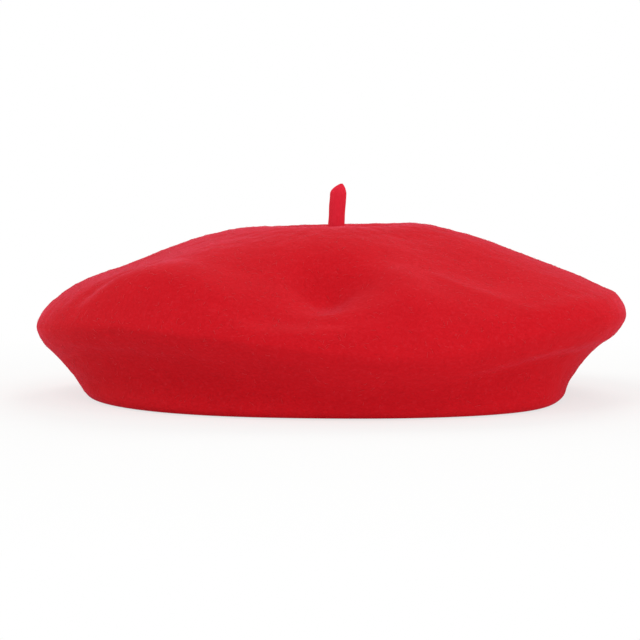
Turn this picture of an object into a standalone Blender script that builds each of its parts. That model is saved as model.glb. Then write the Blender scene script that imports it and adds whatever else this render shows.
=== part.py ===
"""A wool felt beret: a moulded crown with its hem turned in, a sewn sweatband, and a felt stem that bends.

Metres, +Z up. The origin is the middle of the head opening, on the plane that the rim rests on.
The edge of the crown stands higher at +X than at -X. It sags on the -Y side, where the soft dents are.
The lap of the sweatband is at +Y.
"""

import math
from dataclasses import dataclass

import bmesh
import bpy
import numpy as np
from mathutils import Vector

# Crown of felt: heights are above the rim, and radii are from the middle of the head opening
FELT_THICKNESS = 0.0025
CROWN_RADIUS = 0.1295
CREST_RADIUS = 0.036
CREST_HEIGHT = 0.0743
DIMPLE_DEPTH = 0.005
SHOULDER_WIDTH = 0.021
SHOULDER_DROP = 0.0040
SLOPE_SWELL = 0.0009

# Rounded edge of the crown, measured from its widest line
EDGE_HEIGHT = 0.0326
EDGE_TOP_INSET = 0.012
EDGE_TOP_RISE = 0.0143
EDGE_ROUND_INSET = 0.0036
EDGE_ROUND_RISE = 0.0083
UNDER_ROUND_INSET = 0.0038
UNDER_ROUND_DROP = 0.0072
UNDER_INSET = 0.0105
UNDER_DROP = 0.0130

# How much the +X side differs from the middle, and the -X side the other way
EDGE_TILT = 0.0031
EDGE_TOP_TILT = 0.0015
SHOULDER_TILT = 0.0010
CREST_TILT = 0.0009

# How much of the sag of the edge the felt above it shares
EDGE_TOP_SAG_SHARE = 0.66

# Wall under the edge, and the ring that the beret rests on
WALL_SLANT = math.radians(27.5)
WALL_SLANT_CHANGE = math.radians(17.5)
REST_WIDTH = 0.0047
REST_WIDTH_CHANGE = 0.0024
UNDERCUT = 0.0020

# Folds of the rim: the felt bends round these inner radii
RIM_BEND = 0.0025
HEM_BEND = 0.0025
HEM_ABOVE_BAND = 0.003

# Sweatband
HEAD_CIRCUMFERENCE = 0.565
BAND_THICKNESS = 0.0008
BAND_WIDTH = 0.020
LAP_SEGMENTS = 3
LAP_EASE_SEGMENTS = 2

# Sewing
THREAD_DIAMETER = 0.0007
STITCHES = 96
STITCH_HEIGHT = 0.004
STITCH_ABOVE_EDGE = 0.001
TACK_STITCHES = 7
TACK_WIDTH = 0.005
TACK_CLEAR_OF_SEAM = 0.002
TACK_BELOW_EDGE = 0.002

# Stem and what holds it
STEM_X = 0.0022
STEM_RADIUS = 0.00355
STEM_LENGTH = 0.0207
STEM_LEAN = math.radians(4.0)
TIP_SLANT = math.radians(22.0)
TIP_ROUND = 0.0018
ROOT_RADIUS = 0.0033
SEAT_RIM = 0.00045
HOLE_RADIUS = 0.0015
KNOT_RADIUS = 0.0032
KNOT_THICKNESS = 0.0018
KNOT_BEVEL = 0.0006

# Room left between pieces that touch
GAP = 0.0003

# Fineness of the meshes, with which of the crown's stations is its widest line,
# and the shares of the stalk's height and of the tip's round where they have a ring
SEGMENTS = 64
SPAN_STEPS = 2
EDGE_STATION = 7
FOLD_STEPS = 3
SMALL_SEGMENTS = 20
SEAT_RINGS = 5
STALK_RINGS = (0.3, 0.6, 0.8, 1.0)
TIP_RINGS = (0.5, 1.0)

# Colours in linear light, and roughness
FELT_RED = (0.610, 0.0103, 0.0168)
FELT_ROUGHNESS = 0.95
RIBBON_RED = (0.190, 0.0050, 0.0090)
RIBBON_ROUGHNESS = 0.70
THREAD_RED = (0.420, 0.0100, 0.0150)
THREAD_ROUGHNESS = 0.60

# Places that follow from the sizes above
RIM_ROLL = FELT_THICKNESS + RIM_BEND
HEM_ROLL = FELT_THICKNESS + HEM_BEND
BAND_INNER_RADIUS = HEAD_CIRCUMFERENCE / (2 * math.pi)
HEM_RADIUS = BAND_INNER_RADIUS + BAND_THICKNESS + GAP
BAND_BOTTOM = HEM_ROLL
BAND_TOP = BAND_BOTTOM + BAND_WIDTH
HEM_TOP = BAND_TOP + HEM_ABOVE_BAND
LAP_STEP = BAND_THICKNESS + GAP
LAP_ANGLE = 2 * math.pi * LAP_SEGMENTS / SEGMENTS
LAP_EASE = 2 * math.pi * LAP_EASE_SEGMENTS / SEGMENTS
BACK = math.pi / 2
THREAD_STANDOFF = GAP + THREAD_DIAMETER / 2
SEAM_TOP = BAND_BOTTOM + STITCH_ABOVE_EDGE + STITCH_HEIGHT
CROWN_CENTRE = Vector((STEM_X, 0, CREST_HEIGHT - DIMPLE_DEPTH))
STEM_PIVOT = CROWN_CENTRE + Vector((0, 0, GAP + ROOT_RADIUS))


@dataclass(frozen=True)
class Dent:
    """A soft ridge or, with a height below zero, a soft valley, between two places on the crown."""

    start: tuple
    end: tuple
    half_width: float
    height: float

    def rise(self, place):
        """How much this dent lifts the felt at a place in plan."""
        start = np.array(self.start)
        along = np.array(self.end) - start
        share = np.clip(np.dot(place - start, along) / np.dot(along, along), 0, 1)
        away = np.linalg.norm(place - start - share * along)
        return self.height * math.exp(-((away / self.half_width) ** 2))


@dataclass(frozen=True)
class Bulge:
    """A soft swelling or, with an amount below zero, a sag, in one direction round the hat."""

    turn: float
    half_turn: float
    amount: float

    def swell(self, turn):
        """How far the felt stands out or sags in this direction."""
        away = math.remainder(turn - self.turn, 2 * math.pi)
        return self.amount * math.exp(-((away / self.half_turn) ** 2))


# Where the rim rolls out further, where the edge sags, and where the wall between them is fuller
RIM_BULGES = (
    Bulge(turn=math.radians(-44), half_turn=math.radians(22), amount=0.0110),
    Bulge(turn=math.radians(-120), half_turn=math.radians(36), amount=0.0055),
)
EDGE_SAG = Bulge(turn=math.radians(-73), half_turn=math.radians(32), amount=-0.0075)
WALL_BULGE = Bulge(turn=math.radians(-84), half_turn=math.radians(50), amount=0.0025)
WALL_BULGE_HEIGHT = 0.0159
WALL_BULGE_HALF_HEIGHT = 0.0051

DENTS = (
    Dent(start=(-0.008, -0.094), end=(0.000, -0.113), half_width=0.0147, height=-0.0043),
    Dent(start=(-0.027, -0.118), end=(-0.009, -0.108), half_width=0.0184, height=-0.0055),
    Dent(start=(-0.028, -0.095), end=(-0.025, -0.110), half_width=0.0160, height=-0.0020),
    Dent(start=(0.038, -0.048), end=(0.065, -0.071), half_width=0.0220, height=-0.0030),
    Dent(start=(-0.058, -0.089), end=(-0.085, -0.0935), half_width=0.0167, height=0.0013),
    Dent(start=(-0.075, -0.067), end=(-0.1005, -0.070), half_width=0.0070, height=-0.0014),
)


def clear_scene():
    for obj in list(bpy.data.objects):
        bpy.data.objects.remove(obj, do_unlink=True)


def finish(name, colour, roughness):
    """A material of one colour, in linear light."""
    material = bpy.data.materials.new(name)
    material.use_nodes = True
    shader = material.node_tree.nodes["Principled BSDF"]
    shader.inputs["Base Color"].default_value = (*colour, 1)
    shader.inputs["Roughness"].default_value = roughness
    shader.inputs["Metallic"].default_value = 0
    return material


def empty(name, place, parent=None):
    """An empty at a place in the world, which carries the pieces parented to it."""
    pivot = bpy.data.objects.new(name, None)
    bpy.context.scene.collection.objects.link(pivot)
    pivot.parent = parent
    pivot.location = place if parent is None else place - parent.location
    return pivot


def add_node(name, data, material, parent):
    """A named object at its parent's origin."""
    obj = bpy.data.objects.new(name, data)
    bpy.context.scene.collection.objects.link(obj)
    obj.data.materials.append(material)
    obj.parent = parent
    return obj


def mesh_of(name, shape):
    """A mesh from a bmesh, with its faces pointing out."""
    bmesh.ops.recalc_face_normals(shape, faces=shape.faces)
    mesh = bpy.data.meshes.new(name)
    shape.to_mesh(mesh)
    shape.free()
    mesh.shade_smooth()
    return mesh


def skin(rings, capped=True):
    """A bmesh skin over rings of points, each ring closed on itself, with its two ends filled."""
    shape = bmesh.new()
    loops = [[shape.verts.new(point) for point in ring] for ring in rings]
    for lower, upper in zip(loops, loops[1:]):
        for i, corner in enumerate(lower):
            beside = (i + 1) % len(lower)
            shape.faces.new((corner, lower[beside], upper[beside], upper[i]))
    if capped:
        shape.faces.new(loops[0])
        shape.faces.new(loops[-1])
    return shape


def circle(radius, count):
    """Points round a circle in the XY plane."""
    turns = [2 * math.pi * i / count for i in range(count)]
    return [Vector((radius * math.cos(turn), radius * math.sin(turn), 0)) for turn in turns]


def turned(profile):
    """A turned solid from its (radius, height) profile, closed at both ends."""
    rings = []
    for radius, height in profile:
        rings.append([point + Vector((0, 0, height)) for point in circle(radius, SMALL_SEGMENTS)])
    return skin(rings)


def ease(share):
    """A smooth step from 0 to 1."""
    share = min(max(share, 0), 1)
    return share * share * (3 - 2 * share)


def smooth_line(stations, first_slope, last_slope):
    """Points along a smooth curve through the stations, which leaves and arrives in the given directions."""
    points = np.array(stations)
    along = np.concatenate([[0], np.cumsum(np.linalg.norm(np.diff(points, axis=0), axis=1))])
    slopes = np.gradient(points, along, axis=0)
    slopes[0] = first_slope
    slopes[-1] = last_slope
    line = []
    for i, span in enumerate(np.diff(along)):
        for t in np.arange(SPAN_STEPS) / SPAN_STEPS:
            from_start = (2 * t**3 - 3 * t**2 + 1) * points[i] + (t**3 - 2 * t**2 + t) * span * slopes[i]
            to_end = (3 * t**2 - 2 * t**3) * points[i + 1] + (t**3 - t**2) * span * slopes[i + 1]
            line.append(from_start + to_end)
    return line + [points[-1]]


def fold(radius, height, bend, first, last):
    """Points (radius, height) along a round fold of the felt, between two directions from its middle."""
    turns = np.linspace(first, last, FOLD_STEPS + 1)
    return [np.array((radius + bend * math.cos(turn), height + bend * math.sin(turn))) for turn in turns]


def edge_height(turn):
    """Height of the crown's widest line in one direction."""
    return EDGE_HEIGHT + EDGE_TILT * math.cos(turn) + EDGE_SAG.swell(turn)


def crown_stations(turn, rim):
    """Places (radius, height) that the crown's outer face passes through, from the hole to the rim's fold.

    rim is the first place on the fold.
    """
    side = math.cos(turn)
    crest = (CREST_RADIUS, CREST_HEIGHT + CREST_TILT * side)
    shoulder = (CREST_RADIUS + SHOULDER_WIDTH, CREST_HEIGHT - SHOULDER_DROP + SHOULDER_TILT * side)
    tip_height = edge_height(turn)
    edge_top_sag = EDGE_TOP_SAG_SHARE * EDGE_SAG.swell(turn)
    edge_top_height = EDGE_HEIGHT + EDGE_TOP_RISE + EDGE_TOP_TILT * side + edge_top_sag
    edge_top = (CROWN_RADIUS - EDGE_TOP_INSET, edge_top_height)
    slope = (np.array(shoulder) + np.array(edge_top)) / 2 + (0, SLOPE_SWELL)
    undercut = UNDERCUT * (1 + side) / 2
    under = (CROWN_RADIUS - UNDER_INSET - undercut / 2, tip_height - UNDER_DROP)
    waist = (np.array(under) + rim) / 2 - (undercut, 0)
    return [
        (HOLE_RADIUS, CREST_HEIGHT - DIMPLE_DEPTH),
        ((HOLE_RADIUS + CREST_RADIUS) / 2, CREST_HEIGHT - DIMPLE_DEPTH / 2),
        crest,
        shoulder,
        tuple(slope),
        edge_top,
        (CROWN_RADIUS - EDGE_ROUND_INSET, tip_height + EDGE_ROUND_RISE),
        (CROWN_RADIUS, tip_height),
        (CROWN_RADIUS - UNDER_ROUND_INSET, tip_height - UNDER_ROUND_DROP),
        under,
        tuple(waist),
        tuple(rim),
    ]


def felt_profile(turn):
    """Places (radius, height) down the felt's outer face in one direction, from hole to hem."""
    side = math.cos(turn)
    slant = WALL_SLANT - WALL_SLANT_CHANGE * side
    hem_middle = HEM_RADIUS + HEM_ROLL
    swelling = sum(bulge.swell(turn) for bulge in RIM_BULGES)
    rim_middle = hem_middle + REST_WIDTH - REST_WIDTH_CHANGE * side + swelling
    rim_fold = fold(rim_middle, RIM_ROLL, RIM_ROLL, -slant, -math.pi / 2)
    hem_fold = fold(hem_middle, HEM_ROLL, HEM_ROLL, -math.pi / 2, -math.pi)
    wall = (-math.sin(slant), -math.cos(slant))
    outside = smooth_line(crown_stations(turn, rim_fold[0]), (1, 0), wall)
    for place in outside[EDGE_STATION * SPAN_STEPS + 1 : -1]:
        away = (place[1] - WALL_BULGE_HEIGHT) / WALL_BULGE_HALF_HEIGHT
        place[0] += WALL_BULGE.swell(turn) * math.exp(-(away**2))
    hem = [np.array((HEM_RADIUS, height)) for height in ((HEM_ROLL + HEM_TOP) / 2, HEM_TOP)]
    return outside + rim_fold[1:] + hem_fold + hem


def felt_point(radius, height, turn, on_top):
    """A point of the felt's outer face, with the dents and the place of the stem worked in."""
    across = STEM_X * max(0, 1 - radius / CREST_RADIUS)
    place = np.array((radius * math.cos(turn) + across, radius * math.sin(turn)))
    if on_top:
        fade = ease((height - edge_height(turn)) / EDGE_TOP_RISE)
        height += fade * sum(dent.rise(place) for dent in DENTS)
    return Vector((place[0], place[1], height))


def felt_crown(material, parent):
    """The felt as a sheet from the hole to the hem's cut edge, thickened inwards."""
    turns = [2 * math.pi * i / SEGMENTS for i in range(SEGMENTS)]
    profiles = [felt_profile(turn) for turn in turns]
    rings = []
    for i, places in enumerate(zip(*profiles)):
        on_top = i <= EDGE_STATION * SPAN_STEPS
        rings.append([felt_point(*place, turn, on_top) for place, turn in zip(places, turns)])
    felt = add_node("felt_crown", mesh_of("felt_crown", skin(rings, capped=False)), material, parent)
    thickness = felt.modifiers.new("felt thickness", "SOLIDIFY")
    thickness.thickness = FELT_THICKNESS
    thickness.offset = -1
    thickness.use_even_offset = True
    thickness.use_quality_normals = True
    return felt


def lap_inset(turn):
    """How far the sweatband's inmost face stands in at this angle from the start of its lap."""
    turn = turn % (2 * math.pi)
    coming = ease((turn - (2 * math.pi - LAP_EASE)) / LAP_EASE)
    leaving = 1 - ease((turn - LAP_ANGLE) / LAP_EASE)
    return LAP_STEP * max(coming, leaving)


def round_place(radius, turn, height):
    """A point at this angle from the start of the lap."""
    return Vector((radius * math.cos(BACK + turn), radius * math.sin(BACK + turn), height))


def sweatband(material, parent):
    """The ribbon once round inside the hem, with its last end lapped over its first."""
    sections = []
    for i in range(SEGMENTS + LAP_SEGMENTS + 1):
        turn = 2 * math.pi * i / SEGMENTS
        inner = BAND_INNER_RADIUS - LAP_STEP * ease((turn - (2 * math.pi - LAP_EASE)) / LAP_EASE)
        outer = inner + BAND_THICKNESS
        corners = ((inner, BAND_BOTTOM), (outer, BAND_BOTTOM), (outer, BAND_TOP), (inner, BAND_TOP))
        sections.append([round_place(radius, turn, height) for radius, height in corners])
    return add_node("sweatband", mesh_of("sweatband", skin(sections)), material, parent)


def thread(name, points, closed, material, parent):
    """A sewing thread along the points, as one round tube."""
    curve = bpy.data.curves.new(name, "CURVE")
    curve.dimensions = "3D"
    curve.bevel_depth = THREAD_DIAMETER / 2
    curve.bevel_resolution = 0
    curve.use_fill_caps = True
    spline = curve.splines.new("POLY")
    spline.points.add(len(points) - 1)
    for target, point in zip(spline.points, points):
        target.co = (*point, 1)
    spline.use_cyclic_u = closed
    return add_node(name, curve, material, parent)


def sweatband_thread(material, parent):
    """The zigzag round the ribbon's lower edge, which steps in with the ribbon over its lap."""
    points = []
    for i in range(2 * STITCHES):
        turn = math.pi * i / STITCHES
        radius = BAND_INNER_RADIUS - lap_inset(turn) - THREAD_STANDOFF
        points.append(round_place(radius, turn, SEAM_TOP - STITCH_HEIGHT * (i % 2)))
    return thread("sweatband_thread", points, True, material, parent)


def sweatband_lap_tack(material, parent):
    """The short zigzag up the ribbon's lap, which closes it."""
    radius = BAND_INNER_RADIUS - LAP_STEP - THREAD_STANDOFF
    heights = np.linspace(SEAM_TOP + TACK_CLEAR_OF_SEAM, BAND_TOP - TACK_BELOW_EDGE, 2 * TACK_STITCHES)
    half_turn = TACK_WIDTH / radius / 2
    points = []
    for i, height in enumerate(heights):
        points.append(round_place(radius, LAP_ANGLE / 2 + half_turn * (-1) ** i, height))
    return thread("sweatband_lap_tack", points, False, material, parent)


def stem_tack(material, parent):
    """The knot under the crown, with its shank up through the felt to the stem's root."""
    knot_top = -FELT_THICKNESS - GAP
    knot_bottom = knot_top - KNOT_THICKNESS
    shank = HOLE_RADIUS - GAP
    profile = (
        (KNOT_RADIUS - KNOT_BEVEL, knot_bottom),
        (KNOT_RADIUS, knot_bottom + KNOT_BEVEL),
        (KNOT_RADIUS, knot_top - KNOT_BEVEL),
        (KNOT_RADIUS - KNOT_BEVEL, knot_top),
        (shank, knot_top),
        (shank, 0),
    )
    return add_node("stem_tack", mesh_of("stem_tack", turned(profile)), material, parent)


def stem_root(material, parent):
    """The stem's root, round about the point that the stem bends at."""
    shape = bmesh.new()
    rings = SMALL_SEGMENTS // 2
    bmesh.ops.create_uvsphere(shape, u_segments=SMALL_SEGMENTS, v_segments=rings, radius=ROOT_RADIUS)
    return add_node("stem_root", mesh_of("stem_root", shape), material, parent)


def stem_ring(radius, height, slant):
    """A ring of the stem: it leans to +X with the stem, and a slant lifts its +X side."""
    ring = []
    for point in circle(radius, SMALL_SEGMENTS):
        lift = point.x * math.tan(slant)
        ring.append(point + Vector((height * math.tan(STEM_LEAN), 0, height + lift)))
    return ring


def stem(material, parent):
    """The stalk, with a hollow seat over its root and a tip that is cut at a slant."""
    seat_radius = ROOT_RADIUS + GAP
    rim_radius = STEM_RADIUS - SEAT_RIM
    rim_height = math.sqrt(seat_radius**2 - rim_radius**2)
    rim_turn = math.asin(rim_radius / seat_radius)
    rings = []
    for turn in np.linspace(rim_turn / SEAT_RINGS, rim_turn, SEAT_RINGS):
        height = Vector((0, 0, seat_radius * math.cos(turn)))
        rings.append([point + height for point in circle(seat_radius * math.sin(turn), SMALL_SEGMENTS)])
    rings.append([point + Vector((0, 0, rim_height)) for point in circle(STEM_RADIUS, SMALL_SEGMENTS)])
    tip_side = STEM_LENGTH - TIP_ROUND - STEM_RADIUS * math.tan(TIP_SLANT)
    for share in STALK_RINGS:
        height = rim_height + (tip_side - rim_height) * share
        rings.append(stem_ring(STEM_RADIUS, height, TIP_SLANT * ease(share)))
    for share in TIP_RINGS:
        inset = TIP_ROUND * (1 - math.cos(share * math.pi / 2))
        rise = TIP_ROUND * math.sin(share * math.pi / 2)
        rings.append(stem_ring(STEM_RADIUS - inset, tip_side + rise, TIP_SLANT))
    return add_node("stem", mesh_of("stem", skin(rings)), material, parent)


def main():
    clear_scene()
    felt = finish("wool_felt", FELT_RED, FELT_ROUGHNESS)
    ribbon = finish("grosgrain_ribbon", RIBBON_RED, RIBBON_ROUGHNESS)
    sewing = finish("sewing_thread", THREAD_RED, THREAD_ROUGHNESS)

    hat = empty("beret", Vector((0, 0, 0)))
    felt_crown(felt, hat)
    sweatband(ribbon, hat)
    sweatband_thread(sewing, hat)
    sweatband_lap_tack(sewing, hat)

    centre = empty("crown_centre", CROWN_CENTRE, hat)
    stem_tack(sewing, centre)
    pivot = empty("stem_pivot", STEM_PIVOT, hat)
    stem_root(felt, pivot)
    stem(felt, pivot)


if __name__ == "__main__":
    main()
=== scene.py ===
"""Looks of a red wool felt beret: moulded crown, felt stem, sewn sweatband and a white studio.

Metres, +Z up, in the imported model's frame. The rim rests on Z = 0, and the camera looks from the -Y side.
"""

import logging
import math
from dataclasses import dataclass
from enum import Enum

import bmesh
import bpy
import numpy as np
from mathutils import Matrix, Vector, noise


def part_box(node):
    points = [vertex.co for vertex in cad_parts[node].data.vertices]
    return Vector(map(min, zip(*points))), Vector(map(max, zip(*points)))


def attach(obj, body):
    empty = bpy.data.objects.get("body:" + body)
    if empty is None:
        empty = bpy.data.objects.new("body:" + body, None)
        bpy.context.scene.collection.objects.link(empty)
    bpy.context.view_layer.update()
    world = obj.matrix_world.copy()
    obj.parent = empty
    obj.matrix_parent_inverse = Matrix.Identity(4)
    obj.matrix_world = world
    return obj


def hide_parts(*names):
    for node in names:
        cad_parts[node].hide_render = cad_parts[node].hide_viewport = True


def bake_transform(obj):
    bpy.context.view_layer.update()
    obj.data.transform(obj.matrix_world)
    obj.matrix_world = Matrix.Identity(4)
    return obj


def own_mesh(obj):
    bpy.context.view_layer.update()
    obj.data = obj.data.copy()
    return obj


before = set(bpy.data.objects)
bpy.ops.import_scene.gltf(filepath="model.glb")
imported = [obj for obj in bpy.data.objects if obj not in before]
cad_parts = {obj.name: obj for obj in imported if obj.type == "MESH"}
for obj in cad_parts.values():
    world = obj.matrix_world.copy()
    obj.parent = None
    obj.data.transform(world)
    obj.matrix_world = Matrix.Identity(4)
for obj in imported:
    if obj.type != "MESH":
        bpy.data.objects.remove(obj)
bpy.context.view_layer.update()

log = logging.getLogger("beret")

# Mesh attributes that the materials read, so that a pattern stays on its piece when the piece bends
REST_PLACE = "rest_place"
FIBRE_PLACE = "fibre_place"
PLY_TWIST = "ply_twist"

# Sockets of a colour Mix node, which have no names of their own
MIX_SHARE = 0
MIX_FIRST = 6
MIX_SECOND = 7
MIX_RESULT = 2

# How strongly the relief in a material is drawn
BUMP_STRENGTH = 0.5

MILLIMETRE = 0.001
FULL_TURN = 2 * math.pi


class Body(Enum):
    """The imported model's bodies."""

    HAT = "hat_body"
    CENTRE = "crown_centre"
    ROOT = "stem_root"
    STALK = "stem"


class Slot(Enum):
    """The record's material slots."""

    FELT = "wool_felt"
    RIBBON = "grosgrain_ribbon"
    THREAD = "sewing_thread"


class Joint(Enum):
    """The imported model's joints."""

    PRESS = "crown_press"


def linear(code: str) -> tuple[float, float, float, float]:
    """Turns an sRGB hex colour to linear light.

    Args:
        code: The colour, such as "#CD1A23".

    Returns:
        Red, green and blue in linear light, and an alpha of 1.
    """
    parts = [int(code[i : i + 2], 16) / 255 for i in (1, 3, 5)]
    red, green, blue = [c / 12.92 if c <= 0.04045 else ((c + 0.055) / 1.055) ** 2.4 for c in parts]
    return red, green, blue, 1.0


def per_metre(size_mm: float) -> float:
    """The texture scale at which one feature of a pattern is this many millimetres long."""
    return 1 / (size_mm * MILLIMETRE)


def add_node(
    tree: bpy.types.NodeTree, kind: str, settings: dict | None = None, links: dict | None = None
) -> bpy.types.Node:
    """Adds a node with its settings and links.

    Args:
        tree: The node tree of a material or of the world.
        kind: The node's type, without its ShaderNode prefix.
        settings: Values by the name or number of an input socket, or by the name of a property of the node.
        links: The output socket that feeds each input socket.

    Returns:
        The new node.
    """
    node = tree.nodes.new("ShaderNode" + kind)
    for name, value in (settings or {}).items():
        if isinstance(name, str) and hasattr(node, name):
            setattr(node, name, value)
        else:
            node.inputs[name].default_value = value
    for name, source in (links or {}).items():
        tree.links.new(source, node.inputs[name])
    return node


def ease(share: np.ndarray) -> np.ndarray:
    """A smooth step from 0 to 1, of each number in the array."""
    share = np.clip(share, 0, 1)
    return share * share * (3 - 2 * share)


def ripple(points: np.ndarray, length: float) -> np.ndarray:
    """Smooth noise at each point.

    Args:
        points: Points, in an array whose last axis holds X, Y and Z.
        length: Distance from one swell to the next, in metres.

    Returns:
        A number from about -1 to 1 for each point.
    """
    flat = points.reshape(-1, 3) / length
    return np.array([noise.noise(Vector(place)) for place in flat]).reshape(points.shape[:-1])


def unit(vectors: np.ndarray) -> np.ndarray:
    """The vectors, each made one unit long."""
    return vectors / np.linalg.norm(vectors, axis=-1, keepdims=True)


def turns_of(count: int) -> np.ndarray:
    """Even directions all round, in radians from 0."""
    return FULL_TURN * np.arange(count) / count


def runs_along(path: np.ndarray) -> np.ndarray:
    """The distance along a path to each of its points."""
    return np.concatenate([[0], np.cumsum(np.linalg.norm(np.diff(path, axis=0), axis=1))])


def ring_faces(rings: int, spots: int, closed: bool) -> list[list[int]]:
    """Quads over rings of points, each ring closed on itself.

    Args:
        rings: Number of rings.
        spots: Number of points in a ring.
        closed: Whether the last ring joins the first one.

    Returns:
        The corners of each quad.
    """
    bands = rings if closed else rings - 1
    ring, spot = np.meshgrid(np.arange(bands), np.arange(spots), indexing="ij")
    after, beside = (ring + 1) % rings, (spot + 1) % spots
    corners = [ring * spots + spot, ring * spots + beside, after * spots + beside, after * spots + spot]
    return np.stack(corners, axis=-1).reshape(-1, 4).tolist()


def tube_faces(rings: int, spots: int) -> list[list[int]]:
    """Quads over rings of points, and then a face over each end.

    Args:
        rings: Number of rings.
        spots: Number of points in a ring.

    Returns:
        The corners of each face.
    """
    last = (rings - 1) * spots
    return ring_faces(rings, spots, False) + [list(range(spots)), list(range(last, last + spots))]


def mesh_piece(
    name: str, points: np.ndarray, faces: list[list[int]], material: bpy.types.Material
) -> bpy.types.Object:
    """A smooth mesh object with its faces pointing out.

    Args:
        name: The piece's name.
        points: Its points, in an array whose last axis holds X, Y and Z.
        faces: The corners of each face.
        material: Its material.

    Returns:
        The new object.
    """
    mesh = bpy.data.meshes.new(name)
    mesh.from_pydata(points.reshape(-1, 3).tolist(), [], faces)
    shape = bmesh.new()
    shape.from_mesh(mesh)
    bmesh.ops.recalc_face_normals(shape, faces=shape.faces)
    shape.to_mesh(mesh)
    shape.free()
    mesh.shade_smooth()
    mesh.materials.append(material)
    piece = bpy.data.objects.new(name, mesh)
    bpy.context.scene.collection.objects.link(piece)
    return piece


def keep_places(piece: bpy.types.Object, name: str, places: np.ndarray) -> None:
    """Stores a vector for each point of a piece.

    Args:
        piece: The mesh object.
        name: The attribute's name.
        places: The vectors, in the order of the mesh's points.
    """
    attribute = piece.data.attributes.new(name, "FLOAT_VECTOR", "POINT")
    attribute.data.foreach_set("vector", places.astype(np.float32).ravel())


def evenly(path: np.ndarray, step: float) -> np.ndarray:
    """The path with its points a step apart.

    Args:
        path: Points along a line.
        step: Distance from one new point to the next.

    Returns:
        The new points.
    """
    runs = runs_along(path)
    wanted = np.linspace(0, runs[-1], max(2, round(runs[-1] / step)))
    return np.stack([np.interp(wanted, runs, path[:, axis]) for axis in range(3)], axis=1)


@dataclass(frozen=True)
class Finish:
    """What every finish of the beret has. Its pattern sizes are in millimetres."""

    name: str
    colour: str
    roughness: float
    ior: float
    sheen: float
    sheen_roughness: float
    sheen_tint: str

    def start(self) -> tuple[bpy.types.Material, bpy.types.NodeTree, bpy.types.Node]:
        """Makes the material with what is the same all over it.

        Returns:
            The material, its node tree and its shader.
        """
        material = bpy.data.materials.new(self.name)
        material.use_nodes = True
        tree = material.node_tree
        shader = tree.nodes["Principled BSDF"]
        shader.inputs["Roughness"].default_value = self.roughness
        shader.inputs["IOR"].default_value = self.ior
        shader.inputs["Sheen Weight"].default_value = self.sheen
        shader.inputs["Sheen Roughness"].default_value = self.sheen_roughness
        shader.inputs["Sheen Tint"].default_value = linear(self.sheen_tint)
        return material, tree, shader


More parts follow.
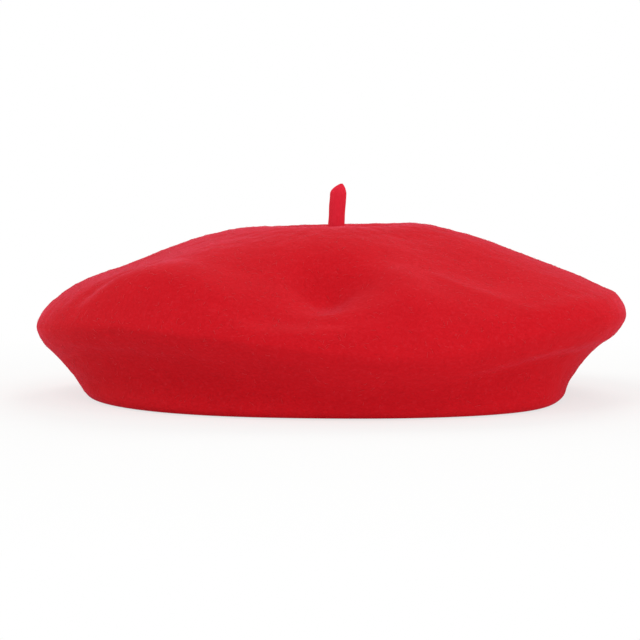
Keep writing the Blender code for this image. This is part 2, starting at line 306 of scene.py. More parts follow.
@dataclass(frozen=True)
class WoolFelt(Finish):
    """Fulled and brushed wool felt.

    Matted fibres scatter light evenly, and those that stand up give a pale bloom where it is seen edge-on.
    The nap lies in small tufts, so the colour is mottled, and brushing leaves faint streaks round it.
    """

    name: str = "wool felt, fulled and brushed"
    colour: str = "#CE1722"
    roughness: float = 0.92
    ior: float = 1.55
    sheen: float = 0.34
    sheen_roughness: float = 0.22
    sheen_tint: str = "#FF7CA0"
    pale_colour: str = "#E0404E"
    deep_colour: str = "#AC0F18"

    diffuse_roughness: float = 0.7
    specular_level: float = 0.04

    # Wool fibres are about 0.03 mm thick: streaks and tufts are drawn as coarse as the picture can show
    streak_mm: float = 0.8
    streak_share: float = 0.1
    streak_band: tuple[float, float] = (0.48, 0.74)
    streak_relief: float = 0.35
    tuft_mm: float = 1.5
    tuft_share: float = 0.16
    tuft_band: tuple[float, float] = (0.5, 0.8)
    shade_share: float = 0.24
    shade_band: tuple[float, float] = (0.5, 0.22)
    blotch_mm: float = 14.0
    blotch_share: float = 0.14
    blotch_band: tuple[float, float] = (0.3, 0.7)
    drift_mm: float = 9.0
    drift_reach_mm: float = 3.0
    relief_mm: float = 0.45

    def material(self) -> bpy.types.Material:
        """Makes the felt's material.

        Returns:
            The material.
        """
        material, tree, shader = self.start()
        shader.inputs["Diffuse Roughness"].default_value = self.diffuse_roughness
        shader.inputs["Specular IOR Level"].default_value = self.specular_level
        rest = {"Vector": add_node(tree, "Attribute", {"attribute_name": REST_PLACE}).outputs["Vector"]}
        fibre = add_node(tree, "Attribute", {"attribute_name": FIBRE_PLACE}).outputs["Vector"]

        # Brushed streaks, which wander a little
        drift = add_node(tree, "TexNoise", {"Scale": per_metre(self.drift_mm), "Detail": 1.0}, rest)
        reach = self.drift_reach_mm * MILLIMETRE
        wander = add_node(
            tree,
            "VectorMath",
            {"operation": "MULTIPLY_ADD", 1: (reach, reach, reach)},
            {0: drift.outputs["Color"], 2: fibre},
        )
        brushed = add_node(
            tree,
            "TexNoise",
            {"Scale": per_metre(self.streak_mm), "Detail": 3.0, "Roughness": 0.6},
            {"Vector": wander.outputs[0]},
        ).outputs["Fac"]

        # Tufts of nap, and uneven dye and matting
        tufts = add_node(
            tree,
            "TexNoise",
            {"Scale": per_metre(self.tuft_mm), "Detail": 2.5, "Roughness": 0.6, "Distortion": 0.5},
            rest,
        ).outputs["Fac"]
        blotch_settings = {"Scale": per_metre(self.blotch_mm), "Detail": 3.0}
        blotch = add_node(tree, "TexNoise", blotch_settings, rest).outputs["Fac"]

        # Layers of colour, each over the one before: blotches, shade between tufts, standing tufts, streaks
        base = {}
        for pattern, step, band, most, code in (
            (blotch, "LINEAR", self.blotch_band, self.blotch_share, self.deep_colour),
            (tufts, "SMOOTHSTEP", self.shade_band, self.shade_share, self.deep_colour),
            (tufts, "SMOOTHSTEP", self.tuft_band, self.tuft_share, self.pale_colour),
            (brushed, "SMOOTHSTEP", self.streak_band, self.streak_share, self.pale_colour),
        ):
            share = add_node(
                tree,
                "MapRange",
                {"interpolation_type": step, "From Min": band[0], "From Max": band[1], "To Max": most},
                {"Value": pattern},
            )
            layer = add_node(
                tree,
                "Mix",
                {"data_type": "RGBA", MIX_FIRST: linear(self.colour), MIX_SECOND: linear(code)},
                {MIX_SHARE: share.outputs[0], **base},
            )
            base = {MIX_FIRST: layer.outputs[MIX_RESULT]}
        tree.links.new(base[MIX_FIRST], shader.inputs["Base Color"])

        # Relief of the nap
        relief = add_node(
            tree, "Math", {"operation": "MULTIPLY_ADD", 1: self.streak_relief}, {0: brushed, 2: tufts}
        )
        bump = add_node(
            tree,
            "Bump",
            {"Strength": BUMP_STRENGTH, "Distance": self.relief_mm * MILLIMETRE},
            {"Height": relief.outputs[0]},
        )
        tree.links.new(bump.outputs[0], shader.inputs["Normal"])
        return material


@dataclass(frozen=True)
class SheenPaintedFeltCord(WoolFelt):
    """Rolled wool felt, coloured paler and pinker than the crown's felt: painted sheen, for the nap that
    stands out all round so thin a piece.
    """

    name: str = "wool felt, rolled into a stem"
    # Paler and pinker colours than the crown's felt: painted sheen
    colour: str = "#E22C40"
    sheen: float = 0.4
    pale_colour: str = "#EA5066"
    deep_colour: str = "#D0212F"
    tuft_mm: float = 1.3
    relief_mm: float = 0.2


@dataclass(frozen=True)
class WoolFibre(Finish):
    """Single wool fibres. Light passes through so thin a fibre, so it looks paler than the felt."""

    name: str = "wool fibre, worked loose"
    colour: str = "#DA323D"
    roughness: float = 0.7
    ior: float = 1.55
    sheen: float = 0.0
    sheen_roughness: float = 0.5
    sheen_tint: str = "#FFFFFF"

    def material(self) -> bpy.types.Material:
        """Makes the fibre's material.

        Returns:
            The material.
        """
        material, _, shader = self.start()
        shader.inputs["Base Color"].default_value = linear(self.colour)
        return material


@dataclass(frozen=True)
class GrosgrainRibbon(Finish):
    """Woven grosgrain ribbon.

    The ribs are modelled. The fine warp gives a low silky gloss, and each valley between ribs is painted
    darker, as painted shade.
    """

    name: str = "grosgrain ribbon, woven viscose"
    colour: str = "#7A0F16"
    roughness: float = 0.62
    ior: float = 1.53
    sheen: float = 0.25
    sheen_roughness: float = 0.3
    sheen_tint: str = "#E8808A"
    # Painted shade in the valleys between ribs
    painted_valley_shade: str = "#4E060B"

    # Warp threads are about 0.12 mm apart: drawn wider, to show in a picture of the whole hat
    warp_mm: float = 0.3
    relief_mm: float = 0.05

    def material(self) -> bpy.types.Material:
        """Makes the ribbon's material.

        Returns:
            The material.
        """
        material, tree, shader = self.start()
        # Along the ribbon in ribs, up its width in metres, and the height of the rib
        place = add_node(tree, "Attribute", {"attribute_name": REST_PLACE}).outputs["Vector"]
        parts = add_node(tree, "SeparateXYZ", {}, {0: place})
        pace = FULL_TURN * per_metre(self.warp_mm)
        warp_turn = add_node(tree, "Math", {"operation": "MULTIPLY", 1: pace}, {0: parts.outputs["Y"]})
        warp = add_node(tree, "Math", {"operation": "SINE"}, {0: warp_turn.outputs[0]})
        # Painted shade: darker towards each valley between ribs, by the rib's height
        valley_shaded = add_node(
            tree,
            "Mix",
            {"data_type": "RGBA", MIX_FIRST: linear(self.painted_valley_shade), MIX_SECOND: linear(self.colour)},
            {MIX_SHARE: parts.outputs["Z"]},
        )
        tree.links.new(valley_shaded.outputs[MIX_RESULT], shader.inputs["Base Color"])
        bump = add_node(
            tree,
            "Bump",
            {"Strength": BUMP_STRENGTH, "Distance": self.relief_mm * MILLIMETRE},
            {"Height": warp.outputs[0]},
        )
        tree.links.new(bump.outputs[0], shader.inputs["Normal"])
        return material


@dataclass(frozen=True)
class SpunThread(Finish):
    """Spun polyester sewing thread.

    Its twisted plies, which are modelled, show slanting light and dark lines and a soft gloss: the dark
    lines are painted shade, in the grooves between plies.
    """

    name: str = "polyester sewing thread, spun and twisted"
    colour: str = "#B3161F"
    roughness: float = 0.55
    ior: float = 1.54
    sheen: float = 0.15
    sheen_roughness: float = 0.3
    sheen_tint: str = "#F0909A"
    # Painted shade in the grooves between plies
    painted_groove_shade: str = "#7C0A11"

    # Spun fibres are about 0.02 mm thick: drawn coarser, to show at all
    fibre_mm: float = 0.15
    relief_mm: float = 0.04

    def material(self) -> bpy.types.Material:
        """Makes the thread's material.

        Returns:
            The material.
        """
        material, tree, shader = self.start()
        place = add_node(tree, "Attribute", {"attribute_name": REST_PLACE}).outputs["Vector"]
        twist = add_node(tree, "Attribute", {"attribute_name": PLY_TWIST}).outputs["Vector"]
        parts = add_node(tree, "SeparateXYZ", {}, {0: twist})
        # Painted shade: darker in the grooves, by how far each point stands out on its ply
        groove_shaded = add_node(
            tree,
            "Mix",
            {"data_type": "RGBA", MIX_FIRST: linear(self.painted_groove_shade), MIX_SECOND: linear(self.colour)},
            {MIX_SHARE: parts.outputs["X"]},
        )
        tree.links.new(groove_shaded.outputs[MIX_RESULT], shader.inputs["Base Color"])
        fuzz = add_node(
            tree, "TexNoise", {"Scale": per_metre(self.fibre_mm), "Detail": 2.0}, {"Vector": place}
        )
        bump = add_node(
            tree,
            "Bump",
            {"Strength": BUMP_STRENGTH, "Distance": self.relief_mm * MILLIMETRE},
            {"Height": fuzz.outputs["Fac"]},
        )
        tree.links.new(bump.outputs[0], shader.inputs["Normal"])
        return material


@dataclass(frozen=True)
class StudioPaper:
    """Matt white background paper, which the camera sees as white apart from the shadow on it."""

    name: str = "studio paper, matt white"
    colour: str = "#F4F4F2"
    whiteness: float = 0.7
    shadow_reach: float = 0.14
    all_white_from: float = 0.42

    def material(self) -> bpy.types.Material:
        """Makes the paper's material.

        Returns:
            The material.
        """
        material = bpy.data.materials.new(self.name)
        material.use_nodes = True
        tree = material.node_tree
        tree.nodes.clear()
        matt = add_node(tree, "BsdfDiffuse", {"Color": linear(self.colour)})
        glow = add_node(tree, "Emission", {"Color": (1, 1, 1, 1), "Strength": 1.0})
        # The floor is all white away from the hat, so that no line shows where it ends
        place = add_node(tree, "TexCoord").outputs["Object"]
        away = add_node(tree, "VectorMath", {"operation": "LENGTH"}, {0: place})
        white = add_node(
            tree,
            "MapRange",
            {"From Min": self.shadow_reach, "From Max": self.all_white_from, "To Min": self.whiteness},
            {"Value": away.outputs["Value"]},
        )
        share = add_node(
            tree, "Math", {"operation": "MULTIPLY"}, {0: seen_directly(tree), 1: white.outputs[0]}
        )
        layers = {0: share.outputs[0], 1: matt.outputs[0], 2: glow.outputs[0]}
        paper = add_node(tree, "MixShader", {}, layers)
        add_node(tree, "OutputMaterial", {}, {"Surface": paper.outputs[0]})
        return material


def seen_directly(tree: bpy.types.NodeTree) -> bpy.types.NodeSocket:
    """The socket that is 1 for what the camera sees, straight or in gloss or glass.

    Args:
        tree: The node tree to add it to.

    Returns:
        The socket.
    """
    rays = add_node(tree, "LightPath").outputs
    straight = add_node(
        tree, "Math", {"operation": "MAXIMUM"}, {0: rays["Is Camera Ray"], 1: rays["Is Glossy Ray"]}
    )
    seen = add_node(
        tree, "Math", {"operation": "MAXIMUM"}, {0: straight.outputs[0], 1: rays["Is Transmission Ray"]}
    )
    return seen.outputs[0]


@dataclass(frozen=True)
class Dent:
    """A soft ridge or, with a height below zero, a soft valley, from one place on the crown to another.

    At the end of it, end_share of its height is left.
    """

    start: tuple[float, float]
    end: tuple[float, float]
    half_width: float
    height: float
    end_share: float = 1.0

    def rise(self, plan: np.ndarray) -> np.ndarray:
        """How much the dent lifts the felt.

        Args:
            plan: Places in plan, in an array whose last axis holds X and Y.

        Returns:
            The lift at each place.
        """
        start = np.array(self.start)
        along = np.array(self.end) - start
        share = np.clip((plan - start) @ along / (along @ along), 0, 1)
        away = np.linalg.norm(plan - start - share[..., None] * along, axis=-1)
        taper = 1 - (1 - self.end_share) * share
        return self.height * taper * np.exp(-((away / self.half_width) ** 2))


@dataclass(frozen=True)
class Bulge:
    """A soft swelling or, with an amount below zero, a sag, round one direction in degrees from +X."""

    turn: float
    half_turn: float
    amount: float

    def swell(self, turn: float) -> float:
        """How far the felt stands out or sags in this direction."""
        away = math.remainder(turn - math.radians(self.turn), FULL_TURN)
        return self.amount * math.exp(-((away / math.radians(self.half_turn)) ** 2))


@dataclass
class FeltCrown:
    """The moulded felt, from the hole under the stem to the cut edge of the turned-in hem."""

    thickness: float = 0.0025
    radius: float = 0.1295
    crest_radius: float = 0.036
    crest_height: float = 0.0743
    dimple_depth: float = 0.005
    shoulder_width: float = 0.021
    shoulder_drop: float = 0.0040
    slope_swell: float = 0.0009
    hole_radius: float = 0.0015
    stem_x: float = 0.0022

    # Rounded edge, measured from the crown's widest line
    edge_height: float = 0.0326
    edge_top_inset: float = 0.012
    edge_top_rise: float = 0.0143
    edge_round_inset: float = 0.0036
    edge_round_rise: float = 0.0083
    under_round_inset: float = 0.0038
    under_round_drop: float = 0.0072
    under_inset: float = 0.0105
    under_drop: float = 0.0130

    # How much the +X side differs from the middle, and the -X side the other way
    edge_tilt: float = 0.0031
    edge_top_tilt: float = 0.0015
    shoulder_tilt: float = 0.0010
    crest_tilt: float = 0.0009
    wall_slant: float = 27.5
    wall_slant_change: float = 17.5
    rest_width: float = 0.0077
    rest_width_change: float = 0.0024
    undercut: float = 0.0020

    # Folds of the rim and the turned-in hem
    roll: float = 0.0035
    hem_radius: float = 0.0910
    hem_top: float = 0.028

    # Waves of the soft felt: how far apart, and how high
    wave_length: float = 0.034
    wave_height: float = 0.00012
    pucker_length: float = 0.0045
    pucker_height: float = 0.00034

    # Fineness, with the number of spans between stations and which station is the crown's widest line
    segments: int = 256
    span_steps: int = 12
    spans: int = 11
    fold_steps: int = 8
    rest_steps: int = 3
    hem_steps: int = 9
    cut_steps: int = 4
    cut_roundness: float = 0.45
    edge_station: int = 7
    streak_stretch: float = 1.7

    # Where the rim rolls out
    rim_bulges: tuple[Bulge, ...] = (
        Bulge(-48, 22, 0.0110),
        Bulge(-120, 36, 0.0055),
        Bulge(-73, 21, 0.0060),
    )

    # Where the crown's widest line sags or lifts, and where the top of its edge does
    edge_sag: Bulge = Bulge(-74, 23, -0.0085)
    edge_top_sag_share: float = 0.72
    edge_lift: Bulge = Bulge(-135, 24, 0.0045)
    edge_flat: Bulge = Bulge(-110, 42, -0.0010)
    edge_top_lift: Bulge = Bulge(-131, 18, 0.0090)

    # Where the edge turns more tightly, where the wall is drawn in, and where it is fuller and how high up
    edge_tightness: Bulge = Bulge(-120, 40, 0.55)
    under_pull: Bulge = Bulge(-123, 26, 0.0048)
    wall_bulge: Bulge = Bulge(180, 40, 0.0014)
    wall_bulge_height: float = 0.0165
    wall_bulge_half_height: float = 0.0055

    # The dent in the middle of the front, and what lies to the left and right of it
    dents: tuple[Dent, ...] = (
        Dent((-0.003, -0.0935), (-0.003, -0.113), 0.0120, -0.0095, 0.2),
        Dent((-0.025, -0.118), (-0.009, -0.108), 0.0184, -0.0038),
        Dent((-0.028, -0.095), (-0.025, -0.110), 0.0170, -0.0020),
        Dent((0.039, -0.048), (0.065, -0.0735), 0.0208, -0.0035),
        Dent((-0.077, -0.065), (-0.1005, -0.066), 0.0065, -0.0018),
        Dent((0.044, -0.0835), (0.078, -0.096), 0.0052, 0.0007),
        Dent((0.012, -0.0946), (0.0144, -0.1204), 0.0100, -0.0020, 0.0),
        Dent((0.027, -0.091), (0.032, -0.106), 0.0120, 0.0032),
    )

    def edge_height_at(self, turn: float) -> float:
        """Height of the crown's widest line in one direction."""
        tilt = self.edge_tilt * math.cos(turn)
        return self.edge_height + tilt + self.edge_sag.swell(turn) + self.edge_lift.swell(turn)

    def stations(self, turn: float, rim: np.ndarray) -> list[tuple[float, float]]:
        """Places that the outer face passes through, from the hole to the rim's fold.

        Args:
            turn: The direction, in radians from +X.
            rim: The first place on the fold.

        Returns:
            The radius and height of each place.
        """
        side = math.cos(turn)
        crest = (self.crest_radius, self.crest_height + self.crest_tilt * side)
        shoulder_height = self.crest_height - self.shoulder_drop + self.shoulder_tilt * side
        shoulder = (self.crest_radius + self.shoulder_width, shoulder_height)
        tip_height = self.edge_height_at(turn)
        edge_top_sag = self.edge_top_sag_share * self.edge_sag.swell(turn) + self.edge_flat.swell(turn)
        edge_top_height = self.edge_height + self.edge_top_rise + self.edge_top_tilt * side + edge_top_sag
        edge_top_height += self.edge_top_lift.swell(turn)
        edge_top = (self.radius - self.edge_top_inset, edge_top_height)
        slope = (np.array(shoulder) + np.array(edge_top)) / 2 + (0, self.slope_swell)
        undercut = self.undercut * (1 + side) / 2 + self.under_pull.swell(turn)
        under = (self.radius - self.under_inset - undercut / 2, tip_height - self.under_drop)
        waist = (np.array(under) + rim) / 2 - (undercut, 0)
        looseness = 1 - self.edge_tightness.swell(turn)
        edge_round = (
            self.radius - looseness * self.edge_round_inset,
            tip_height + looseness * self.edge_round_rise,
        )
        under_round = (
            self.radius - looseness * self.under_round_inset,
            tip_height - looseness * self.under_round_drop,
        )
        dimple = self.crest_height - self.dimple_depth
        return [
            (self.hole_radius, dimple),
            ((self.hole_radius + self.crest_radius) / 2, dimple + self.dimple_depth / 2),
            crest,
            shoulder,
            tuple(slope),
            edge_top,
            edge_round,
            (self.radius, tip_height),
            under_round,
            under,
            tuple(waist),
            tuple(rim),
        ]

    def smooth_line(self, stations: list, first_slope: tuple, last_slope: tuple) -> np.ndarray:
        """A smooth curve through the stations.

        Args:
            stations: The places that it passes through.
            first_slope: The direction in which it leaves.
            last_slope: The direction in which it arrives.

        Returns:
            Points along the curve.
        """
        points = np.array(stations)
        along = runs_along(points)
        slopes = np.gradient(points, along, axis=0)
        slopes[0], slopes[-1] = first_slope, last_slope
        t = (np.arange(self.span_steps) / self.span_steps)[None, :, None]
        span = np.diff(along)[:, None, None]
        places = (2 * t**3 - 3 * t**2 + 1) * points[:-1, None] + (3 * t**2 - 2 * t**3) * points[1:, None]
        bends = (t**3 - 2 * t**2 + t) * slopes[:-1, None] + (t**3 - t**2) * slopes[1:, None]
        return np.concatenate([(places + span * bends).reshape(-1, 2), points[-1:]])

    def fold(self, middle: float, first: float, last: float) -> np.ndarray:
        """A round fold of the felt that touches the ground.

        Args:
            middle: The radius at which the fold's middle is.
            first: The direction from its middle in which it starts.
            last: The direction in which it ends.

        Returns:
            The radius and height of points along it.
        """
        turns = np.linspace(first, last, self.fold_steps + 1)
        return np.stack([middle + self.roll * np.cos(turns), self.roll + self.roll * np.sin(turns)], axis=1)

    def profile(self, turn: float) -> np.ndarray:
        """The outer face in one direction, from the hole to the hem's cut edge.

        Args:
            turn: The direction, in radians from +X.

        Returns:
            The radius and height of points along it.
        """
        side = math.cos(turn)
        slant = math.radians(self.wall_slant - self.wall_slant_change * side)
        hem_middle = self.hem_radius + self.roll
        swelling = sum(bulge.swell(turn) for bulge in self.rim_bulges)
        rim_middle = hem_middle + self.rest_width - self.rest_width_change * side + swelling
        rim_fold = self.fold(rim_middle, -slant, -math.pi / 2)
        hem_fold = self.fold(hem_middle, -math.pi / 2, -math.pi)
        wall = (-math.sin(slant), -math.cos(slant))
        outside = self.smooth_line(self.stations(turn, rim_fold[0]), (1, 0), wall)
        lower = outside[self.edge_station * self.span_steps + 1 : -1]
        away = (lower[:, 1] - self.wall_bulge_height) / self.wall_bulge_half_height
        lower[:, 0] += self.wall_bulge.swell(turn) * np.exp(-(away**2))
        rest = np.linspace(rim_fold[-1], hem_fold[0], self.rest_steps + 1)[1:-1]
        hem = np.linspace(hem_fold[-1], (self.hem_radius, self.hem_top), self.hem_steps + 1)[1:]
        return np.concatenate([outside, rim_fold[1:], rest, hem_fold, hem])

    def outer_face(self) -> np.ndarray:
        """The outer face, with its dents and waves.

        Returns:
            Points, in rings from the hole to the hem.
        """
        turns = turns_of(self.segments)
        profiles = np.stack([self.profile(turn) for turn in turns], axis=1)
        radius, height = profiles[..., 0], profiles[..., 1]
        across = self.stem_x * np.clip(1 - radius / self.crest_radius, 0, None)
        plan = np.stack([radius * np.cos(turns) + across, radius * np.sin(turns)], axis=-1)
        on_top = (np.arange(len(profiles)) <= self.edge_station * self.span_steps)[:, None]
        edge_heights = np.array([self.edge_height_at(turn) for turn in turns])
        fade = ease((height - edge_heights) / self.edge_top_rise) * on_top
        height = height + fade * sum(dent.rise(plan) for dent in self.dents)
        face = np.concatenate([plan, height[..., None]], axis=-1)
        outside = (np.arange(len(profiles)) <= self.outside_rings)[:, None]
        off_rim = ease((height - self.roll) / self.roll)
        off_stem = ease((radius - self.roll) / self.crest_radius)
        loose = outside * off_rim * off_stem
        waves = self.wave_height * ripple(face, self.wave_length)
        puckers = self.pucker_height * ripple(face, self.pucker_length)
        return face + (loose * (waves + puckers))[..., None] * self.normals(face)

    @property
    def outside_rings(self) -> int:
        """The number of rings of the outer face down to the rim's fold."""
        return self.spans * self.span_steps

    @staticmethod
    def normals(face: np.ndarray) -> np.ndarray:
        """The outward direction at each point of a face in rings.

        Args:
            face: Points, in rings from the hole to the hem.

        Returns:
            A unit vector for each point.
        """
        down = np.gradient(face, axis=0)
        beside = np.roll(face, -1, axis=1) - np.roll(face, 1, axis=1)
        return unit(np.cross(down, beside))

    def cut_edge(self, first: np.ndarray, last: np.ndarray, ahead: np.ndarray) -> np.ndarray:
        """The slightly rounded cut edge of the felt.

        Args:
            first: The ring that the edge starts from.
            last: The ring that it ends at, on the felt's other face.
            ahead: The direction in which the felt ends.

        Returns:
            Rings of points between the two.
        """
        middle, half = (first + last) / 2, (first - last) / 2
        turns = np.linspace(0, math.pi, self.cut_steps + 2)[1:-1, None, None]
        bulge = self.cut_roundness * self.thickness / 2 * np.sin(turns) * ahead
        return middle + half * np.cos(turns) + bulge

    def build(self, felt: bpy.types.Material) -> bpy.types.Object:
        """Makes the felt as one closed skin.

        Args:
            felt: The felt's material.

        Returns:
            The piece.
        """
        outer = self.outer_face()
        inner = outer - self.thickness * self.normals(outer)
        hem_edge = self.cut_edge(outer[-1], inner[-1], np.array((0, 0, 1)))
        to_middle = unit(outer[0].mean(axis=0) - outer[0])
        hole_edge = self.cut_edge(inner[0], outer[0], to_middle)
        rings = np.concatenate([outer, hem_edge, inner[::-1], hole_edge])
        piece = mesh_piece("felt_shell", rings, ring_faces(len(rings), self.segments, True), felt)
        keep_places(piece, REST_PLACE, rings)
        keep_places(piece, FIBRE_PLACE, self.fibre_places(rings))
        return piece

    def fibre_places(self, rings: np.ndarray) -> np.ndarray:
        """Places in which the streaks' pattern is even: distances round the crown are shortened.

        Args:
            rings: Points, in rings.

        Returns:
            A place for each point.
        """
        steps = np.linalg.norm(np.diff(rings, axis=0), axis=-1).mean(axis=1)
        run = np.concatenate([[0], np.cumsum(steps)])
        plan = rings[..., :2] / self.streak_stretch
        return np.concatenate([plan, np.broadcast_to(run[:, None, None], (*rings.shape[:2], 1))], axis=-1)


@dataclass
class LooseFibres:
    """Wool fibres that have worked loose and lie on the felt's outer face, each touching at both ends."""

    count: int = 3200
    under_share: float = 0.4
    shortest: float = 0.0006
    longest: float = 0.0026

    # A fibre is about 0.03 mm thick: these are as coarse as the picture can show
    radius: float = 0.00005
    lift: float = 0.00020
    curl: float = 220.0
    bends: int = 6
    sides: int = 3
    seed: int = 11

    @staticmethod
    def sample(face: np.ndarray, ring: np.ndarray, spot: np.ndarray) -> np.ndarray:
        """Values between the points of a face in rings.

        Args:
            face: A vector for each point, in rings.
            ring: Which ring, with the share of the way to the next one.
            spot: Which point in the ring, in the same way.

        Returns:
            A vector for each place.
        """
        low, first = np.floor(ring).astype(int), np.floor(spot).astype(int)
        up, along = (ring - low)[:, None], (spot - first)[:, None]
        first, second = first % face.shape[1], (first + 1) % face.shape[1]
        here = (1 - along) * face[low, first] + along * face[low, second]
        below = (1 - along) * face[low + 1, first] + along * face[low + 1, second]
        return (1 - up) * here + up * below

    def paths(self, crown: FeltCrown) -> tuple[np.ndarray, np.ndarray]:
        """Lines over the felt, each with its own length and curl.

        Args:
            crown: The felt that the fibres lie on.

        Returns:
            The points of each line, and the felt's outward direction at each of them.
        """
        chance = np.random.default_rng(self.seed)
        face = crown.outer_face()[: crown.outside_rings + 1]
        outward = crown.normals(face)
        spread = np.linalg.norm(np.diff(face, axis=0), axis=-1).mean(axis=1)
        girth = np.linalg.norm(face[1:, :, :2], axis=-1).mean(axis=1)
        under = np.arange(len(spread)) >= crown.edge_station * crown.span_steps
        room = spread * girth * np.where(under, self.under_share, 1)
        ring = chance.choice(len(spread), self.count, p=room / room.sum()) + 0.5
        spot = chance.uniform(0, crown.segments, self.count)
        heading = chance.uniform(0, FULL_TURN, self.count)
        curl = chance.normal(0, self.curl, self.count)
        step = chance.uniform(self.shortest, self.longest, self.count) / self.bends
        points, directions = [], []
        for bend in range(self.bends + 1):
            ring = np.clip(ring, 1, len(face) - 3)
            direction = self.sample(outward, ring, spot)
            height = self.lift * math.sin(math.pi * bend / self.bends)
            points.append(self.sample(face, ring, spot) + height * direction)
            directions.append(direction)
            down = self.sample(face, ring + 1, spot) - self.sample(face, ring, spot)
            beside = self.sample(face, ring, spot + 1) - self.sample(face, ring, spot)
            ring = ring + step * np.cos(heading) / np.linalg.norm(down, axis=-1)
            spot = spot + step * np.sin(heading) / np.linalg.norm(beside, axis=-1)
            heading = heading + curl * step
        return np.stack(points, axis=1), np.stack(directions, axis=1)

    def build(self, crown: FeltCrown, wool: bpy.types.Material) -> bpy.types.Object:
        """Makes all the fibres as one piece.

        Args:
            crown: The felt that they lie on.
            wool: The fibre's material.

        Returns:
            The piece.
        """
        paths, outward = self.paths(crown)
        ahead = np.gradient(paths, axis=1)
        sideways = unit(np.cross(ahead, outward))
        turns = turns_of(self.sides)[:, None]
        round_it = outward[..., None, :] * np.cos(turns) + sideways[..., None, :] * np.sin(turns)
        rings = paths[..., None, :] + self.radius * round_it
        tube = tube_faces(self.bends + 1, self.sides)
        starts = (self.bends + 1) * self.sides * np.arange(self.count)
        faces = [[start + i for i in face] for start in starts.tolist() for face in tube]
        return mesh_piece("loose_fibres", rings, faces, wool)


@dataclass
class FeltStem:
    """The felt stem, in two pieces that meet in one ring at its pivot."""

    radius: float = 0.00350
    widening: float = 0.00030
    depth_share: float = 0.93
    flare: float = 0.0009
    flare_height: float = 0.0026
    lean: float = 3.4
    tip_height: float = 0.0050
    tip_reach: float = 0.50
    tip_fullness: float = 0.62
    top: float = 0.0930
    sunk: float = 0.0003
    rock_start: float = -0.0036
    lean_end: float = 0.0055
    unevenness: float = 0.00018
    uneven_length: float = 0.006
    streak_stretch: float = 9.0
    segments: int = 40
    foot_rings: int = 10
    stalk_rings: int = 26
    tip_rings: int = 12

    def pivot(self) -> np.ndarray:
        """The point that the stem bends at, which is the middle of its root's solid."""
        low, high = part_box("stem_root")
        return np.array((low + high) / 2)

    def base(self) -> float:
        """The height at which the stem stands on the crown, a little sunk in it."""
        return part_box("stem_tack")[1].z - self.sunk

    def rings_at(self, heights: np.ndarray, base: float) -> np.ndarray:
        """Rings of the stem's side.

        Args:
            heights: The height of each ring.
            base: The height of the felt that the stem stands on.

        Returns:
            Points, in rings.
        """
        turns = turns_of(self.segments)
        widen = self.flare * np.clip(1 - (heights - base) / self.flare_height, 0, None) ** 2
        pivot = self.pivot()
        rise = (heights - base) / (self.top - base)
        radius = (self.radius + self.widening * np.clip(rise, 0, 1) + widen)[:, None]
        middle = pivot[0] + (heights - pivot[2]) * math.tan(math.radians(self.lean))
        x = middle[:, None] + radius * np.cos(turns)
        y = pivot[1] + self.depth_share * radius * np.sin(turns)
        return np.stack([x, y, np.broadcast_to(heights[:, None], x.shape)], axis=-1)

    def tip(self, low: float) -> np.ndarray:
        """The stem's end: pared on the -X side, with its peak towards +X.

        Args:
            low: The height at which it starts.

        Returns:
            Points, in rings.
        """
        start = self.rings_at(np.array([low]), self.base())[0]
        middle = start.mean(axis=0)
        turns = np.linspace(0, math.pi / 2, self.tip_rings + 1)[1:-1]
        rings = []
        for turn in turns:
            width = math.cos(turn)
            rise = (1 - self.tip_fullness) * (1 - width) + self.tip_fullness * math.sin(turn)
            shift = np.array((self.tip_reach * self.radius * (1 - width), 0, self.tip_height * rise))
            rings.append(middle + (start - middle) * width + shift)
        return np.array(rings)

    def uneven(self, rings: np.ndarray) -> np.ndarray:
        """The rings, pushed in and out a little, as hand-formed felt is."""
        outward = (rings - rings.mean(axis=1, keepdims=True)) / self.radius
        return rings + outward * self.unevenness * ripple(rings, self.uneven_length)[..., None]

    def stack(self, name: str, rings: np.ndarray, felt: bpy.types.Material) -> bpy.types.Object:
        """A closed piece over rings of points.

        Args:
            name: The piece's name.
            rings: Points, in rings.
            felt: The felt's material.

        Returns:
            The piece.
        """
        piece = mesh_piece(name, rings, tube_faces(len(rings), self.segments), felt)
        for end in piece.data.polygons[-2:]:
            end.use_smooth = False
        keep_places(piece, REST_PLACE, rings)
        keep_places(piece, FIBRE_PLACE, rings * (1, 1, 1 / self.streak_stretch))
        return piece

    def build(self, felt: bpy.types.Material) -> tuple[bpy.types.Object, bpy.types.Object]:
        """Makes the stem.

        Args:
            felt: The felt's material.

        Returns:
            The foot that stands on the crown, and the stalk above it.
        """
        base = self.base()
        seam = self.pivot()[2]
        tip_low = self.top - self.tip_height
        foot = self.rings_at(np.linspace(base, seam, self.foot_rings), base)
        stalk = self.rings_at(np.linspace(seam, tip_low, self.stalk_rings), base)
        stalk = np.concatenate([stalk, self.tip(tip_low)])
        return (
            self.stack("stem_foot", self.uneven(foot), felt),
            self.stack("stem_stalk", self.uneven(stalk), felt),
        )


